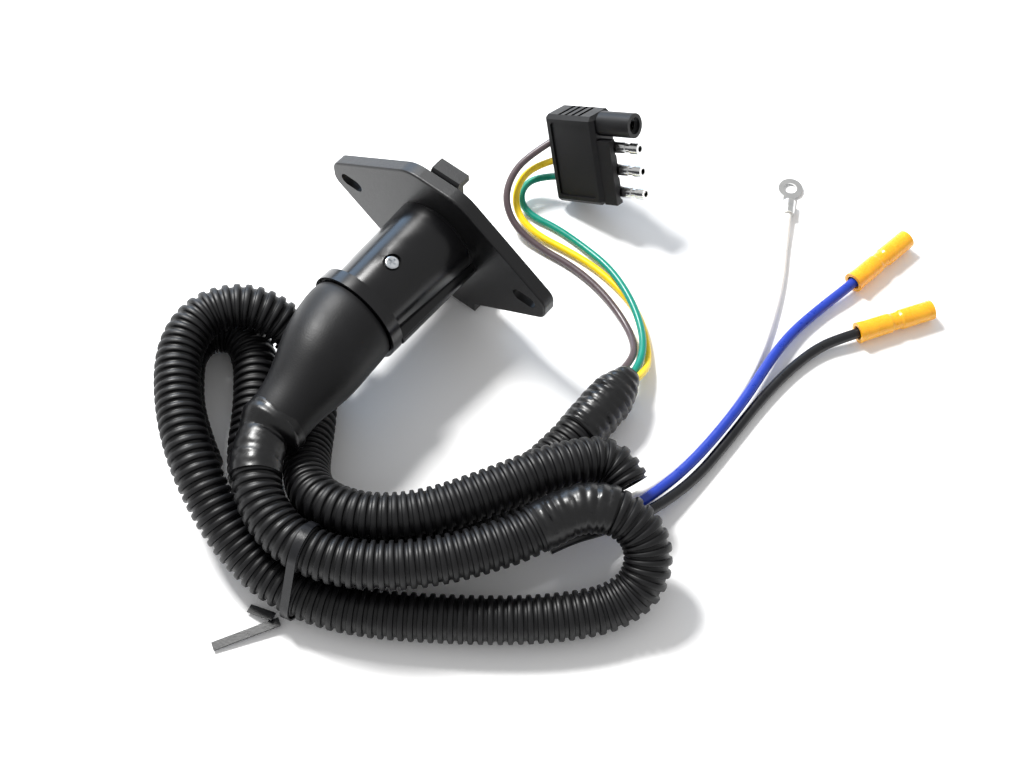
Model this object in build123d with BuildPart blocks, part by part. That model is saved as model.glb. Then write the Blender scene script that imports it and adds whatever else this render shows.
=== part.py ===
from build123d import *
import os
from math import atan2, cos, degrees, hypot, pi, radians, sin, tan

# Six-way round trailer socket with its sealing boot, loom, leads and flat four-way connector.
# Millimetres. +Z is up, and z = 0 is the surface that everything lies on. The socket's axis is
# along Y: the mouth and the lid face +Y, the boot leaves towards -Y. The origin is on the surface,
# under the middle of the socket, measured from the boot's lip to the front of the hinge.

# ---- socket: overall ----
socket_length = 112.0
flange_length = 105.4
flange_height = 63.0
flange_thickness = 5.4
flange_lift = 3.5

# ---- socket: flange ----
flange_tip_height = 9.0
flange_flat = 24.2
tip_radius = 5.5
shoulder_radius = 16.0
flange_edge_round = 0.8
slot_spacing = 86.0
slot_length = 10.5
slot_width = 5.6

# ---- socket: barrel ----
barrel_length = 41.0
barrel_wall = 3.3
barrel_taper = 1.9
end_ring_length = 5.0
end_ring_height = 3.2
spigot_length = 7.0
spigot_step = 1.0
insert_ledge = 2.0
cavity_radius = 14.6
lip_height = 1.0
lip_width = 3.7
key_angle = -10.0
key_bulge_depth = 5.4
key_bulge_width = 6.0
key_groove_depth = 3.0
key_groove_width = 3.0

# ---- contacts and their insert ----
insert_depth = 20.0
insert_length = 13.0
fit_clearance = 0.1
contact_circle_radius = 8.6
contact_count = 5
pin_radius = 1.9
pin_length = 15.0
contact_body_radius = 2.3
contact_collar_radius = 2.9
contact_collar_length = 1.2
cup_length = 7.0
wire_radius = 1.3
cup_bore_radius = 1.45
contact_screw_radius = 0.85
screw_angle = 80.5
screw_head_radius = 2.7
screw_head_height = 1.6
screw_shank_radius = 1.5
screw_recess_radius = 3.5
screw_recess_depth = 1.5
screw_proud = 0.1

# ---- lid and hinge ----
lid_gap = 0.3
lid_overhang = 7.4
lid_thickness = 3.2
lid_rim_width = 3.0
lid_panel_recess = 0.8
seal_inset = 0.6
seal_width = 3.8
seal_thickness = 1.2
seal_gap = 0.1
tab_width = 13.0
tab_height = 31.0
tab_reach = 3.1
tab_web = 3.0
catch_width = 6.0
catch_depth = 3.0
catch_height = 3.0
hinge_offset = 4.8
knuckle_radius = 3.8
hinge_pin_radius = 1.5
running_clearance = 0.06
hinge_width = 37.0
lid_knuckle_width = 14.0
spring_gap_width = 6.0
knuckle_gap = 0.4
spring_wire_radius = 0.4
spring_ease = 0.35
spring_turns = 4.75
spring_pitch = 1.0
spring_leg_margin = 1.2
spring_foot_reach = 2.5
spring_foot_ease = 0.6
spring_heel_ease = 0.5

# ---- boot ----
boot_gap = 0.5
boot_belly = 0.6
boot_lip_radius = 10.9
boot_wall = 2.3
boot_lip_bore = 9.85
boot_neck_ease = 0.4
boot_shift_x = 6.5
boot_drop = 4.0
boot_clearance = 0.3
bead_height = 0.7
bead_length = 2.0

# ---- loom, tape and leads ----
loom_radius = 8.6
tape_thickness = 0.75
tape_gap = 0.05
thin_lead_radius = 1.45
heavy_lead_radius = 2.05
link_radius = 1.6
tie_width = 3.2
tie_thickness = 0.6
tie_clearance = 0.35

# ---- flat four-way connector ----
plug_end_margin = 4.4
plug_thickness = 14.0
plug_depth = 24.0
plug_pitch = 9.4
plug_edge = 1.6
boss_radius = 4.9
boss_length = 15.5
boss_bore_radius = 3.3
bullet_radius = 2.4
bullet_length = 16.5
bullet_seat = 8.0
bullet_bore_radius = 1.2
waist_from_tip = 6.2
waist_length = 2.4
waist_depth = 0.5
panel_margin = 3.0
panel_recess = 0.7
grip_width = 1.4
grip_pitch = 3.2
grip_count = 4
tongue_length = 6.0

# ---- ring terminal and butt connectors ----
ring_outer_radius = 5.0
ring_hole_radius = 2.6
ring_thickness = 0.9
ring_barrel_radius = 2.5
ring_barrel_length = 6.5
ring_neck_length = 3.5
butt_length = 32.0
butt_radius = 3.9
butt_waist_radius = 3.5
butt_flare_radius = 4.2
butt_barrel_radius = 2.75
butt_barrel_bore = 2.1
butt_barrel_length = 15.0
butt_bore = 2.8
butt_flare_length = 4.0
butt_waist_length = 5.0
lead_insertion = 7.0

# ---- worked out from the above ----
barrel_front_radius = cavity_radius + barrel_wall
barrel_rear_radius = barrel_front_radius - barrel_taper
end_ring_radius = barrel_rear_radius + end_ring_height
spigot_radius = barrel_rear_radius - spigot_step
rear_bore_radius = cavity_radius - insert_ledge
lip_radius = cavity_radius + lip_width
key_bulge_radius = cavity_radius + key_bulge_depth
key_groove_radius = cavity_radius + key_groove_depth
seal_inner_radius = cavity_radius + seal_inset
seal_outer_radius = seal_inner_radius + seal_width
lid_radius = cavity_radius + lid_overhang
boot_front_radius = spigot_radius + boot_wall + boot_clearance
boot_belly_radius = boot_front_radius + boot_belly
spring_radius = hinge_pin_radius + spring_ease + spring_wire_radius
plug_row = 3 * plug_pitch + 2 * plug_end_margin
flange_back = socket_length / 2 - flange_thickness - hinge_offset - knuckle_radius
flange_front = flange_back + flange_thickness
mouth_y = flange_front + lip_height
axis_z = flange_lift + flange_height / 2
barrel_end = flange_back - barrel_length
ring_end = barrel_end - end_ring_length
boot_front = ring_end - boot_gap
boot_rear = -socket_length / 2
insert_front = flange_back - insert_depth
insert_rear = insert_front - insert_length
hinge_y = flange_front + hinge_offset
hinge_z = knuckle_radius
lid_back = mouth_y + lid_gap
lid_front = lid_back + lid_thickness
spring_leg = axis_z - seal_outer_radius - hinge_z - spring_leg_margin
neck_x = boot_shift_x
neck_z = axis_z - boot_drop
tape_radius = loom_radius + tape_thickness
socket_axis = Plane(origin=(0, 0, axis_z), x_dir=(1, 0, 0), z_dir=(0, -1, 0))

# ---- hand-chosen routes ----
# The main loom: out of the neck tape, round the coil, under the boot and over the branch loom.
main_route = [
    (11, -67, 32), (17, -75, 31.5), (27, -81, 30), (40, -83.5, 28.5), (54, -80.5, 27.5),
    (67.5, -73, 27), (79, -62.8, 27), (87.8, -52.6, 27), (95, -42, 27), (101, -32, 27),
    (105.5, -21, 28), (111, -10, 29.5), (122, -2.8, 29), (135, -2.5, 23), (142, -12.5, 14),
    (138, -25, 8.8), (129, -36.5, 8.8), (118.5, -47, 8.8), (106.5, -57, 8.8), (92, -68, 8.8),
    (77, -78.5, 8.8), (62, -87, 9.0), (46.5, -92, 9.8), (30, -93.5, 12.4), (11, -90, 19.5),
    (-10, -81.3, 26.5), (-29, -68.5, 27), (-44.5, -53, 27), (-49.5, -37.5, 27), (-44, -25.5, 27),
    (-34.5, -18.5, 25), (-23, -15.5, 18), (-12, -18.5, 10.5), (-2, -27, 8.8), (6.5, -37.5, 8.8),
    (15, -49, 11.5), (24.5, -59, 18.5), (35.5, -64.8, 25), (50.5, -62, 27), (63, -53, 27),
    (72, -42, 27), (79.5, -29, 27), (86, -16.5, 27), (91, -6, 26.6), (96.4, 3.2, 25.1),
    (102.2, 11.7, 23), (109, 13.8, 20.8), (115.6, 11.1, 18.5),
]
# The branch loom: on the surface all the way, under the main loom and the boot.
branch_route = [
    (-12, -77.5, 8.8), (-31, -68, 8.8), (-45.5, -55, 8.8), (-54, -44, 8.8), (-53.5, -32, 8.8),
    (-43.5, -25, 8.8), (-32.5, -28.5, 8.8), (-22, -38, 8.8), (-12, -49.5, 8.8), (-3.5, -61, 8.8),
    (7.5, -71, 8.8), (22, -76, 8.8), (37.5, -74.5, 8.8), (51, -68, 8.8), (63, -57.5, 8.8),
    (72, -45, 8.8), (78, -31, 8.8), (81.5, -16.5, 8.8), (84, -1.5, 8.8), (85.5, 13, 8.8),
    (86, 28, 9.3),
]
lead_routes = {
    "lead_brown": (thin_lead_radius, [
        (82.6, 51, 12.2), (81.6, 60.5, 8.2), (76.6, 69, 4.2), (66, 76.5, 1.7), (50, 82.3, 1.7),
        (34, 84.3, 1.7), (18, 82.8, 1.9), (5.5, 82.8, 5.6), (-3, 87, 11), (-6.8, 95, 15.5),
        (-6, 104.5, 20), (-1.1, 114.2, 24.2),
    ]),
    "lead_yellow": (thin_lead_radius, [
        (88.6, 51, 12), (88.3, 60, 6.5), (83.5, 69, 2.2), (75, 77.8, 1.7), (65, 84.3, 1.7),
        (53, 88, 1.7), (40, 89.6, 1.7), (27, 89, 1.7), (14, 87.2, 2), (3.5, 88.3, 4),
        (-3, 93.2, 7.6), (-5, 100.3, 11.8), (-2.3, 107, 15.2), (2.6, 111.8, 17.6),
    ]),
    "lead_green": (thin_lead_radius, [
        (85.8, 51, 9.2), (85.3, 59, 8), (81.2, 68.5, 6.6), (73, 77.4, 5.6), (61, 85.5, 5.4),
        (47, 91.6, 4.2), (32, 94.6, 1.8), (17, 95.2, 1.7), (6.5, 93.4, 1.8), (-1.2, 95, 3.2),
        (-4.6, 100.4, 5.8), (-1.6, 106.4, 8.8), (5.8, 109.7, 11.9),
    ]),
    "lead_white": (thin_lead_radius, [
        (100.9, -21.3, 17.6), (104.4, -13.7, 18.4), (108.6, -4.5, 14.5), (112.8, 6, 8),
        (117, 18.5, 3.2), (120.5, 34, 1.7), (122.1, 51, 1.7), (121.6, 71, 1.7), (118.6, 90, 1.7),
        (112.7, 109, 1.7), (104, 130, 1.7), (94, 147.3, 1.8), (88.4, 157.2, 2.8),
        (84.6, 164.1, 2.8),
    ]),
    "lead_blue": (heavy_lead_radius, [
        (104.5, -23.1, 16.1), (108, -15.5, 17), (112.6, -5.5, 14), (118, 5.5, 8.8),
        (121.6, 21, 5.6), (124.4, 38, 5.3), (124.9, 58, 5.3), (124, 77, 5.3), (121.6, 95.5, 4.8),
        (120.6, 113, 2.9), (123.2, 130.5, 3), (125.9, 142, 4.5), (127.7, 153.5, 4.5),
    ]),
    "lead_black": (heavy_lead_radius, [
        (108.9, -25.1, 17.1), (112.5, -17.5, 18), (117.6, -8, 15.3), (122.2, 3.5, 10.6),
        (126, 18, 6), (129, 37, 2.6), (128.9, 58, 2.3), (128.2, 80, 2.3), (129.3, 99, 2.3),
        (132.6, 114, 3), (138.6, 123.8, 4.5), (144.5, 133.6, 4.5),
    ]),
}


def bend_radii(points):
    """One radius a corner: 0.45 of the shorter run over the tangent of half the turn."""
    radii = []
    for before, corner, after in zip(points, points[1:], points[2:]):
        run_in = Vector(corner) - Vector(before)
        run_out = Vector(after) - Vector(corner)
        half_turn = radians(run_in.get_angle(run_out)) / 2
        radii.append(0.45 * min(run_in.length, run_out.length) / tan(half_turn))
    return radii


def midpoint(a, b):
    return tuple((p + q) / 2 for p, q in zip(a, b))


def report_tube(name, tube, path, radii, radius, bore=0.0):
    """Prints a tube's length, its tightest bend, and its volume over section times length."""
    length = sum(edge.length for edge in path.edges())
    expected = pi * (radius**2 - bore**2) * length
    print(f"{name}: {length:.1f} long, tightest bend {min(radii):.1f}, "
          f"volume {tube.volume / expected:.4f}")


def finish(builder, name):
    builder.part.label = name
    export_step(builder.part, f"parts/{name}.step")


def radial(angle, y, radius=0.0):
    """A plane whose Z points away from the socket's axis at this angle from +X towards +Z."""
    out = (cos(radians(angle)), 0, sin(radians(angle)))
    return Plane(origin=(radius * out[0], y, axis_z + radius * out[2]), x_dir=(0, 1, 0), z_dir=out)


def across(y):
    """A plane square to the socket's axis, at this y, facing -Y, with X along +X."""
    return socket_axis.offset(-y)


os.makedirs("parts", exist_ok=True)

# ---------------------------------------------------------------- socket housing
half_length = flange_length / 2
half_height = flange_height / 2
half_tip = flange_tip_height / 2
half_flat = flange_flat / 2
with BuildPart() as socket_housing:
    with BuildSketch(across(flange_back)) as outline:
        with BuildLine():
            Polyline(
                (half_length, half_tip), (half_flat, half_height), (-half_flat, half_height),
                (-half_length, half_tip), (-half_length, -half_tip), (-half_flat, -half_height),
                (half_flat, -half_height), (half_length, -half_tip), close=True,
            )
        make_face()
        fillet(outline.vertices().group_by(Axis.X)[0], tip_radius)
        fillet(outline.vertices().group_by(Axis.X)[-1], tip_radius)
        fillet(outline.vertices().group_by(Axis.Y)[0], shoulder_radius)
        fillet(outline.vertices().group_by(Axis.Y)[-1], shoulder_radius)
    extrude(amount=-flange_thickness)
    rims = socket_housing.faces().filter_by(Axis.Y).sort_by(Axis.Y)
    fillet(rims[0].outer_wire().edges(), flange_edge_round)
    # hinge block, as wide as the hinge, below the diamond's slopes
    with BuildSketch(Plane.XY.offset(flange_lift)):
        with Locations((0, (flange_back + flange_front) / 2)):
            Rectangle(hinge_width, flange_thickness)
    extrude(amount=2 * knuckle_radius)
    # the barrel, its end ring and the spigot that the boot is stretched over
    with BuildSketch(across(flange_back)):
        Circle(barrel_front_radius)
    extrude(amount=barrel_length, taper=degrees(
        atan2(barrel_front_radius - barrel_rear_radius, barrel_length)))
    with BuildSketch(across(barrel_end)):
        Circle(end_ring_radius)
    extrude(amount=end_ring_length)
    with BuildSketch(across(ring_end)):
        Circle(spigot_radius)
    extrude(amount=spigot_length)
    # the rounded rib that holds the inner keyway
    rib_x, rib_z = cos(radians(key_angle)), sin(radians(key_angle))
    rib_nose = key_bulge_radius - key_bulge_width / 2
    with BuildSketch(across(flange_back)):
        with Locations((rib_nose * rib_x, rib_nose * rib_z)):
            Circle(key_bulge_width / 2)
        rib_middle = (rib_nose + cavity_radius) / 2
        with Locations(Location((rib_middle * rib_x, rib_middle * rib_z, 0), (0, 0, key_angle))):
            Rectangle(rib_nose - cavity_radius, key_bulge_width)
    extrude(amount=barrel_length)
    # raised lip round the mouth
    with BuildSketch(across(flange_front)):
        Circle(lip_radius)
    extrude(amount=-lip_height)
    # hinge lugs either side of the lid's knuckle
    lug_width = (hinge_width - lid_knuckle_width) / 2 - knuckle_gap
    for side in (-1, 1):
        inner = side * (lid_knuckle_width / 2 + knuckle_gap)
        with BuildSketch(Plane.YZ.offset(inner)):
            with Locations((hinge_y, hinge_z)):
                Circle(knuckle_radius)
            with Locations(((flange_front + hinge_y) / 2 - 0.5, flange_lift + knuckle_radius / 2 + 0.1)):
                Rectangle(hinge_y - flange_front + 1.0, knuckle_radius + 0.2)
        extrude(amount=side * lug_width)
    # the cavity, the seat of the insert, and the rear opening
    with BuildSketch(across(mouth_y)):
        Circle(cavity_radius)
    extrude(amount=mouth_y - insert_rear, mode=Mode.SUBTRACT)
    with BuildSketch(across(insert_rear)):
        Circle(rear_bore_radius)
    extrude(amount=insert_rear - (ring_end - spigot_length), mode=Mode.SUBTRACT)
    # the keyway, from the mouth to the insert
    groove_length = mouth_y - insert_front
    with BuildSketch(radial(key_angle, mouth_y - groove_length / 2, cavity_radius - 1.0)):
        Rectangle(groove_length, key_groove_width)
    extrude(amount=key_groove_radius - cavity_radius + 1.0, mode=Mode.SUBTRACT)
    # mounting slots
    with BuildSketch(across(flange_back)):
        with Locations((-slot_spacing / 2, 0), (slot_spacing / 2, 0)):
            SlotOverall(slot_length, slot_width)
    extrude(amount=-flange_thickness, mode=Mode.SUBTRACT)
    # bore of the hinge pin
    with BuildSketch(Plane.YZ.offset(-hinge_width / 2)):
        with Locations((hinge_y, hinge_z)):
            Circle(hinge_pin_radius)
    extrude(amount=hinge_width, mode=Mode.SUBTRACT)
    # recess and hole of the screw that holds the insert
    screw_y = (insert_front + insert_rear) / 2
    barrel_here = barrel_front_radius - (barrel_front_radius - barrel_rear_radius) * (
        (flange_back - screw_y) / barrel_length)
    with BuildSketch(radial(screw_angle, screw_y, barrel_here - screw_recess_depth)):
        Circle(screw_recess_radius)
    extrude(amount=2 * screw_recess_depth, mode=Mode.SUBTRACT)
    with BuildSketch(radial(screw_angle, screw_y, rear_bore_radius)):
        Circle(screw_shank_radius + fit_clearance)
    extrude(amount=barrel_here - rear_bore_radius, mode=Mode.SUBTRACT)
finish(socket_housing, "socket_housing")

# ---------------------------------------------------------------- insert and contacts
first_contact = screw_angle + 180 / contact_count
contact_angles = [first_contact + 360 / contact_count * i for i in range(contact_count)]
contact_places = {"contact_centre": (0.0, 0.0)}
for number, angle in enumerate(contact_angles, start=1):
    contact_places[f"contact_{number}"] = (
        contact_circle_radius * cos(radians(angle)), contact_circle_radius * sin(radians(angle)))
insert_radius = cavity_radius - fit_clearance
screw_tip_radius = contact_circle_radius + 1.4
with BuildPart() as contact_insert:
    with BuildSketch(across(insert_front)):
        Circle(insert_radius)
    extrude(amount=insert_length)
    with BuildSketch(across(insert_front)):
        with Locations(*contact_places.values()):
            Circle(contact_body_radius + fit_clearance / 2)
    extrude(amount=insert_length, mode=Mode.SUBTRACT)
    with BuildSketch(radial(screw_angle, screw_y, screw_tip_radius - 0.5)):
        Circle(screw_shank_radius + fit_clearance / 2)
    extrude(amount=insert_radius, mode=Mode.SUBTRACT)
finish(contact_insert, "contact_insert")

cup_end = insert_rear - cup_length
contact_screw_places = []
for name, (x, z) in contact_places.items():
    screw_direction = degrees(atan2(z, x)) if hypot(x, z) > 0 else screw_angle
    clamp = Plane(
        origin=(x, cup_end + cup_length * 0.6, axis_z + z), x_dir=(0, 1, 0),
        z_dir=(cos(radians(screw_direction)), 0, sin(radians(screw_direction))))
    contact_screw_places.append(clamp)
    with BuildPart() as contact:
        with BuildSketch(across(insert_front)):
            with Locations((x, z)):
                Circle(contact_body_radius)
        extrude(amount=insert_length + cup_length)
        with BuildSketch(across(insert_front)):
            with Locations((x, z)):
                Circle(contact_collar_radius)
        extrude(amount=-contact_collar_length)
        with BuildSketch(across(insert_front + contact_collar_length)):
            with Locations((x, z)):
                Circle(pin_radius)
        extrude(amount=contact_collar_length - pin_length)
        fillet(contact.edges().sort_by(Axis.Y)[-1], pin_radius * 0.45)
        with BuildSketch(across(cup_end)):
            with Locations((x, z)):
                Circle(cup_bore_radius)
        extrude(amount=1 - cup_length, mode=Mode.SUBTRACT)
        with BuildSketch(clamp):
            Circle(contact_screw_radius + fit_clearance / 2)
        extrude(amount=contact_body_radius + 1, mode=Mode.SUBTRACT)
    finish(contact, name)

with BuildPart() as contact_screws:
    for clamp in contact_screw_places:
        with BuildSketch(clamp.offset(wire_radius + fit_clearance / 2)):
            Circle(contact_screw_radius)
        extrude(amount=contact_body_radius - wire_radius)
finish(contact_screws, "contact_screws")

with BuildPart() as insert_screw:
    head_top = barrel_here + screw_proud
    with BuildSketch(radial(screw_angle, screw_y, screw_tip_radius)):
        Circle(screw_shank_radius)
    extrude(amount=head_top - screw_head_height - screw_tip_radius + 0.2)
    with BuildSketch(radial(screw_angle, screw_y, head_top - screw_head_height)):
        Circle(screw_head_radius)
    extrude(amount=screw_head_height)
    fillet(insert_screw.faces().sort_by(Axis.Z)[-1].edges(), 0.6)
    with BuildSketch(radial(screw_angle, screw_y, head_top)):
        Rectangle(screw_head_radius * 1.2, 0.7)
        Rectangle(0.7, screw_head_radius * 1.2)
    extrude(amount=-1.0, mode=Mode.SUBTRACT)
finish(insert_screw, "insert_screw")

# ---------------------------------------------------------------- lid, seal, pin and spring
with BuildPart() as lid:
    with BuildSketch(across(lid_front)):
        Circle(lid_radius)
    extrude(amount=lid_thickness)
    with BuildSketch(across(lid_front)):
        Circle(lid_radius - lid_rim_width)
        Circle(lid_radius - 2 * lid_rim_width, mode=Mode.SUBTRACT)
    extrude(amount=lid_panel_recess, mode=Mode.SUBTRACT)
    fillet(lid.edges().filter_by(GeomType.CIRCLE).sort_by(Axis.Y)[-1], lid_panel_recess / 2)
    # grip tab: up behind the rim, then curled forward
    with BuildSketch(Plane.YZ.offset(-tab_width / 2)):
        with BuildLine():
            Polyline(
                (lid_back, axis_z + lid_radius - 4), (lid_back + tab_web, axis_z + lid_radius - 6),
                (lid_back + tab_web, axis_z + tab_height - tab_web),
                (lid_front + tab_reach, axis_z + tab_height - tab_web),
                (lid_front + tab_reach, axis_z + tab_height), (lid_back + 1.0, axis_z + tab_height),
                (lid_back, axis_z + tab_height - 1.0), close=True,
            )
        make_face()
    extrude(amount=tab_width)
    # arm down to the hinge, and its knuckle
    with BuildSketch(Plane.YZ.offset(-lid_knuckle_width / 2)):
        with Locations((hinge_y, hinge_z)):
            Circle(knuckle_radius)
        with BuildLine():
            Polyline(
                (lid_back, hinge_z), (lid_back, axis_z - lid_radius + 3),
                (lid_front, axis_z - lid_radius + 3), (lid_front, hinge_z), close=True,
            )
        make_face()
    extrude(amount=lid_knuckle_width)
    # gap for the spring and its rear leg, and bore of the pin
    with BuildSketch(Plane.YZ.offset(-spring_gap_width / 2)):
        with Locations(((lid_back + lid_front) / 2, hinge_z + spring_leg / 2)):
            Rectangle(lid_thickness, spring_leg)
    extrude(amount=spring_gap_width, mode=Mode.SUBTRACT)
    with BuildSketch(Plane.YZ.offset(-spring_gap_width / 2)):
        with Locations((hinge_y, hinge_z)):
            Circle(knuckle_radius + 0.3)
    extrude(amount=spring_gap_width, mode=Mode.SUBTRACT)
    with BuildSketch(Plane.YZ.offset(-lid_knuckle_width / 2)):
        with Locations((hinge_y, hinge_z)):
            Circle(hinge_pin_radius + running_clearance)
    extrude(amount=lid_knuckle_width, mode=Mode.SUBTRACT)
    # groove of the seal
    with BuildSketch(across(lid_back)):
        Circle(seal_outer_radius + fit_clearance)
        Circle(seal_inner_radius - fit_clearance, mode=Mode.SUBTRACT)
    groove_depth = seal_gap + seal_thickness - lid_gap
    extrude(amount=-groove_depth, mode=Mode.SUBTRACT)
    # catch that keeps a plug in
    with BuildSketch(across(lid_back)):
        with Locations((0, seal_inner_radius - fit_clearance - catch_height / 2 - 1.2)):
            Rectangle(catch_width, catch_height)
    extrude(amount=catch_depth)
finish(lid, "lid")

with BuildPart() as lid_seal:
    with BuildSketch(across(mouth_y + seal_gap)):
        Circle(seal_outer_radius)
        Circle(seal_inner_radius, mode=Mode.SUBTRACT)
    extrude(amount=-seal_thickness)
finish(lid_seal, "lid_seal")

with BuildPart() as hinge_pin:
    with BuildSketch(Plane.YZ.offset(-hinge_width / 2)):
        with Locations((hinge_y, hinge_z)):
            Circle(hinge_pin_radius)
    extrude(amount=hinge_width)
finish(hinge_pin, "hinge_pin")

coil_length = spring_turns * spring_pitch
spring_foot = (-coil_length / 2, hinge_y, hinge_z + spring_radius)
spring_heel = (coil_length / 2, hinge_y - spring_radius, hinge_z - spring_wire_radius)
spring_legs = [
    (spring_foot, (-coil_length / 2, lid_front + spring_foot_ease, hinge_z + spring_leg + spring_foot_reach)),
    (spring_heel, (coil_length / 2, flange_front + spring_heel_ease, hinge_z + spring_leg)),
]
with BuildPart() as lid_spring:
    with BuildLine() as coil:
        Helix(
            pitch=spring_pitch, height=coil_length, radius=spring_radius, lefthand=True,
            center=(-coil_length / 2, hinge_y, hinge_z), direction=(1, 0, 0),
        )
    with BuildSketch(Plane(coil.line @ 0, z_dir=coil.line % 0)):
        Circle(spring_wire_radius)
    sweep(path=coil.line)
    for foot, top in spring_legs:
        leg = Vector(top) - Vector(foot)
        with BuildSketch(Plane(foot, z_dir=leg)):
            Circle(spring_wire_radius)
        extrude(amount=leg.length)
finish(lid_spring, "lid_spring")

# ---------------------------------------------------------------- boot
boot_span = boot_front - boot_rear
boot_grip = 0.12
boot_neck = 0.81
# share of the boot's length, share of its sideways shift and drop, outer radius
boot_stations = [
    (0.00, 0.00, 0.00, boot_front_radius),
    (boot_grip, 0.04, 0.00, boot_belly_radius),
    (0.27, 0.20, 0.00, boot_belly_radius - 0.4),
    (0.46, 0.48, 0.02, boot_belly_radius - 1.7),
    (0.63, 0.70, 0.22, boot_belly_radius - 4.1),
    (boot_neck, 0.88, 0.60, boot_lip_radius + 1.3),
    (1.00, 1.00, 1.00, boot_lip_radius),
]


with BuildPart() as boot_hollow:
    for along, shift, drop, radius in boot_stations:
        y = boot_front - along * boot_span
        inner = radius - boot_wall
        if along <= boot_grip:
            inner = spigot_radius + boot_clearance
        if along >= boot_neck:
            inner = boot_lip_bore + (boot_neck_ease if along < 1 else 0)
        with BuildSketch(Plane(origin=(shift * boot_shift_x, y, axis_z - drop * boot_drop),
                               x_dir=(1, 0, 0), z_dir=(0, -1, 0))):
            Circle(inner)
    loft()
with BuildPart() as boot:
    for along, shift, drop, radius in boot_stations:
        y = boot_front - along * boot_span
        with BuildSketch(Plane(origin=(shift * boot_shift_x, y, axis_z - drop * boot_drop),
                               x_dir=(1, 0, 0), z_dir=(0, -1, 0))):
            Circle(radius)
    loft()
    with BuildSketch(Plane(origin=(neck_x, boot_rear, neck_z), x_dir=(1, 0, 0), z_dir=(0, 1, 0))):
        Circle(boot_lip_radius + bead_height)
    extrude(amount=bead_length)
    add(boot_hollow.part, mode=Mode.SUBTRACT)
finish(boot, "boot")

# ---------------------------------------------------------------- wires inside the boot
neck_shift, neck_share = next((shift, drop) for along, shift, drop, _ in boot_stations if along == boot_neck)
tape_start_x = neck_shift * boot_shift_x
tape_start_y = boot_front - boot_neck * boot_span
tape_start_z = axis_z - neck_share * boot_drop
bundle_ring = 3.0
boot_wire_start = cup_end + cup_length * 0.75
with BuildPart() as boot_wires:
    for x, z in contact_places.values():
        bundle_x = tape_start_x + x * bundle_ring / contact_circle_radius
        bundle_z = tape_start_z + z * bundle_ring / contact_circle_radius
        points = [
            (x, boot_wire_start, axis_z + z),
            (x, ring_end - spigot_length - 2, axis_z + z),
            (bundle_x, tape_start_y + 10, bundle_z),
            (bundle_x, tape_start_y, bundle_z),
        ]
        with BuildLine() as path:
            FilletPolyline(*points, radius=bend_radii(points))
        with BuildSketch(Plane(path.line @ 0, z_dir=path.line % 0)):
            Circle(wire_radius)
        sweep(path=path.line)
finish(boot_wires, "boot_wires")

# ---------------------------------------------------------------- tapes and looms
neck_tape_radius = min(tape_radius, boot_lip_bore - fit_clearance)
loom_start = main_route[0]
loom_heading = Vector(main_route[1]) - Vector(main_route[0])
with BuildPart() as neck_tape:
    with BuildSketch(Plane(origin=(tape_start_x, tape_start_y, tape_start_z),
                           x_dir=(1, 0, 0), z_dir=(0, -1, 0))):
        Circle(neck_tape_radius)
    with BuildSketch(Plane(origin=(neck_x, boot_rear, neck_z), x_dir=(1, 0, 0), z_dir=(0, -1, 0))):
        Circle(neck_tape_radius)
    with BuildSketch(Plane(loom_start, z_dir=loom_heading)):
        Circle(neck_tape_radius)
    loft()
finish(neck_tape, "neck_tape")

# looms and leads, each one tube
tubes = {
    "conduit_main": (loom_radius, main_route),
    "conduit_branch": (loom_radius, branch_route),
    **lead_routes,
}
for name, (radius, points) in tubes.items():
    radii = bend_radii(points)
    with BuildPart() as tube:
        with BuildLine() as path:
            FilletPolyline(*points, radius=radii)
        with BuildSketch(Plane(path.line @ 0, z_dir=path.line % 0)):
            Circle(radius)
        sweep(path=path.line)
    report_tube(name, tube.part, path, radii, radius)
    finish(tube, name)

# the joint tape is a sleeve on the main loom, from one run's middle to another's
joint_first, joint_last = 9, 11
joint_route = [
    midpoint(main_route[joint_first], main_route[joint_first + 1]),
    *main_route[joint_first + 1:joint_last + 1],
    midpoint(main_route[joint_last], main_route[joint_last + 1]),
]
joint_radii = bend_radii(main_route)[joint_first:joint_last]
with BuildPart() as joint_tape:
    with BuildLine() as path:
        FilletPolyline(*joint_route, radius=joint_radii)
    with BuildSketch(Plane(path.line @ 0, z_dir=path.line % 0)):
        Circle(tape_radius)
        Circle(loom_radius + tape_gap, mode=Mode.SUBTRACT)
    sweep(path=path.line)
report_tube("joint_tape", joint_tape.part, path, joint_radii, tape_radius, loom_radius + tape_gap)
finish(joint_tape, "joint_tape")

# the branch tape starts on the branch loom's end face and closes in on the three leads
branch_end = Vector(branch_route[-1])
branch_heading = branch_end - Vector(branch_route[-2])
tail_end = (85.6, 51, 11.4)
with BuildPart() as branch_tape:
    with BuildSketch(Plane(branch_end, z_dir=branch_heading)):
        Circle(tape_radius)
    with BuildSketch(Plane(branch_end + branch_heading.normalized() * 14, z_dir=branch_heading)):
        Circle(tape_radius)
    with BuildSketch(Plane(tail_end, x_dir=(1, 0, 0), z_dir=(0, 1, 0))):
        Circle(5.0)
    loft(ruled=True)
finish(branch_tape, "branch_tape")

# short taped bundle out of the loom's cut end and into the joint tape
link_route = [(114.8, 8.1, 17.0), (117.4, 6.6, 16.9), (117.2, 3.4, 18.7), (116.0, 1.6, 20.8)]
with BuildPart() as bundle_link:
    with BuildLine() as path:
        FilletPolyline(*link_route, radius=bend_radii(link_route))
    with BuildSketch(Plane(path.line @ 0, z_dir=path.line % 0)):
        Circle(link_radius)
    sweep(path=path.line)
finish(bundle_link, "bundle_link")

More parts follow.
